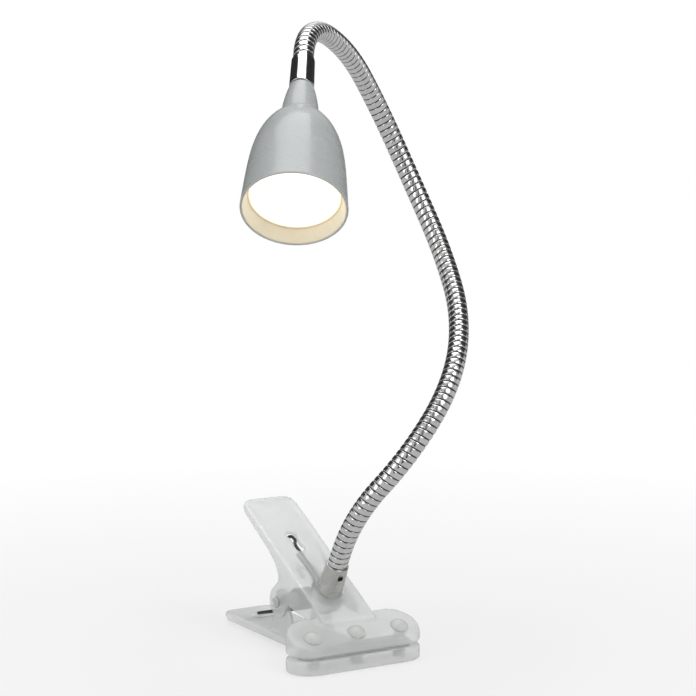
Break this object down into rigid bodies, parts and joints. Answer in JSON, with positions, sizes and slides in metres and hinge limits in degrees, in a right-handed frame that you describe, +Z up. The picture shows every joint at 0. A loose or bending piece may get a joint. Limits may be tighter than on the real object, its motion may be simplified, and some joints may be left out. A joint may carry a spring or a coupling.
{
  "type": "clip-on reading lamp",
  "caption": "Spring clamp with two jaws, a flexible metal gooseneck rising from the upper jaw and a bell-shaped LED head.",
  "frame": {"origin": "centre of the lower jaw's flat underside, midway along the bar and midway across it", "axes": "+X along the jaws and the hinge pin, +Y back towards the lever tips, +Z up"},
  "size_m": [0.1705, 0.1852, 0.3356],
  "materials": {
    "clamp_plastic": "frosted translucent plastic",
    "pad_silicone": "milky silicone",
    "zinc_steel": "zinc plated",
    "spring_steel": "dark oiled spring wire",
    "bush_plastic": "natural nylon",
    "satin_nickel": "satin nickel plate",
    "black_screw": "black oxide",
    "grommet_rubber": "soft black rubber",
    "hose_chrome": "polished strip-wound hose",
    "core_steel": "close-wound spring wire",
    "lead_sheath": "white sheath",
    "ferrule_chrome": "polished",
    "shade_plastic": "warm grey, semi-gloss",
    "sink_aluminium": "as cast",
    "board_white": "white solder mask",
    "led_emitter": "emissive warm white phosphor",
    "reflector_white": "white, lit cream",
    "diffuser_opal": "opal diffuser, emissive"
  },
  "bodies": {
    "lower_clamp": {"lower_jaw": "clamp_plastic", "lower_pad": "pad_silicone", "hinge_pin": "zinc_steel", "pin_caps": "clamp_plastic", "spring_bush": "bush_plastic", "spring_coil": "spring_steel"},
    "upper_clamp": {"upper_jaw": "clamp_plastic", "upper_pad": "pad_silicone", "spring_leg": "spring_steel", "base_ferrule": "satin_nickel", "set_screw": "black_screw", "lock_washer": "zinc_steel", "neck_nut": "zinc_steel", "cord_grommet": "grommet_rubber", "neck_hose_0": "hose_chrome", "neck_core_0": "core_steel", "neck_lead_0": "lead_sheath"},
    "link_1": {"neck_hose_1": "hose_chrome", "neck_core_1": "core_steel", "neck_lead_1": "lead_sheath"},
    "link_2": {"neck_hose_2": "hose_chrome", "neck_core_2": "core_steel", "neck_lead_2": "lead_sheath"},
    "link_3": {"neck_hose_3": "hose_chrome", "neck_core_3": "core_steel", "neck_lead_3": "lead_sheath"},
    "link_4": {"neck_hose_4": "hose_chrome", "neck_core_4": "core_steel", "neck_lead_4": "lead_sheath"},
    "link_5": {"neck_hose_5": "hose_chrome", "neck_core_5": "core_steel", "neck_lead_5": "lead_sheath"},
    "link_6": {"neck_hose_6": "hose_chrome", "neck_core_6": "core_steel", "neck_lead_6": "lead_sheath"},
    "link_7": {"neck_hose_7": "hose_chrome", "neck_core_7": "core_steel", "neck_lead_7": "lead_sheath"},
    "link_8": {"neck_hose_8": "hose_chrome", "neck_core_8": "core_steel", "neck_lead_8": "lead_sheath"},
    "head": {"neck_hose_9": "hose_chrome", "neck_core_9": "core_steel", "neck_lead_9": "lead_sheath", "head_ferrule": "ferrule_chrome", "head_nipple": "zinc_steel", "shade_collar": "shade_plastic", "shade": "shade_plastic", "shade_nut": "zinc_steel", "heat_sink": "sink_aluminium", "led_board": "board_white", "led_chips": "led_emitter", "board_screws": "zinc_steel", "reflector": "reflector_white", "diffuser": "diffuser_opal", "led_leads": "lead_sheath"}
  },
  "joints": [
    {"name": "clamp_open", "type": "hinge", "parent": "lower_clamp", "child": "upper_clamp", "pos_m": [0, 0.0535, 0.0244], "axis": [-1, 0, 0], "range_deg": [0, 40], "stiffness_Nm_per_rad": 0.6, "springref_deg": -51.57},
    {"name": "neck_bend_1", "type": "hinge", "parent": "upper_clamp", "child": "link_1", "pos_m": [0, 0.01161, 0.05912], "axis": [0.0175, 0.8745, 0.4847], "range_deg": [-18, 18]},
    {"name": "neck_bend_2", "type": "hinge", "parent": "link_1", "child": "link_2", "pos_m": [0.01161, -0.00887, 0.09565], "axis": [0.3645, 0.8951, 0.2567], "range_deg": [-18, 18]},
    {"name": "neck_bend_3", "type": "hinge", "parent": "link_2", "child": "link_3", "pos_m": [0.03729, -0.01696, 0.12986], "axis": [-0.7673, -0.121, 0.6298], "range_deg": [-18, 18]},
    {"name": "neck_bend_4", "type": "hinge", "parent": "link_3", "child": "link_4", "pos_m": [0.06226, -0.00348, 0.16287], "axis": [-0.8554, 0.4569, 0.2439], "range_deg": [-18, 18]},
    {"name": "neck_bend_5", "type": "hinge", "parent": "link_4", "child": "link_5", "pos_m": [0.0766, 0.02309, 0.19456], "axis": [0.5542, -0.676, 0.4857], "range_deg": [-18, 18]},
    {"name": "neck_bend_6", "type": "hinge", "parent": "link_5", "child": "link_6", "pos_m": [0.07705, 0.04887, 0.22992], "axis": [-0.6224, -0.7167, 0.3147], "range_deg": [-18, 18]},
    {"name": "neck_bend_7", "type": "hinge", "parent": "link_6", "child": "link_7", "pos_m": [0.06622, 0.06491, 0.26918], "axis": [0.7305, -0.5455, 0.4109], "range_deg": [-18, 18]},
    {"name": "neck_bend_8", "type": "hinge", "parent": "link_7", "child": "link_8", "pos_m": [0.04367, 0.06235, 0.30589], "axis": [-0.564, -0.4076, -0.7182], "range_deg": [-18, 18]},
    {"name": "neck_bend_9", "type": "hinge", "parent": "link_8", "child": "head", "pos_m": [0.01095, 0.04412, 0.32826], "axis": [0.5648, -0.7561, 0.3305], "range_deg": [-18, 18]}
  ]
}
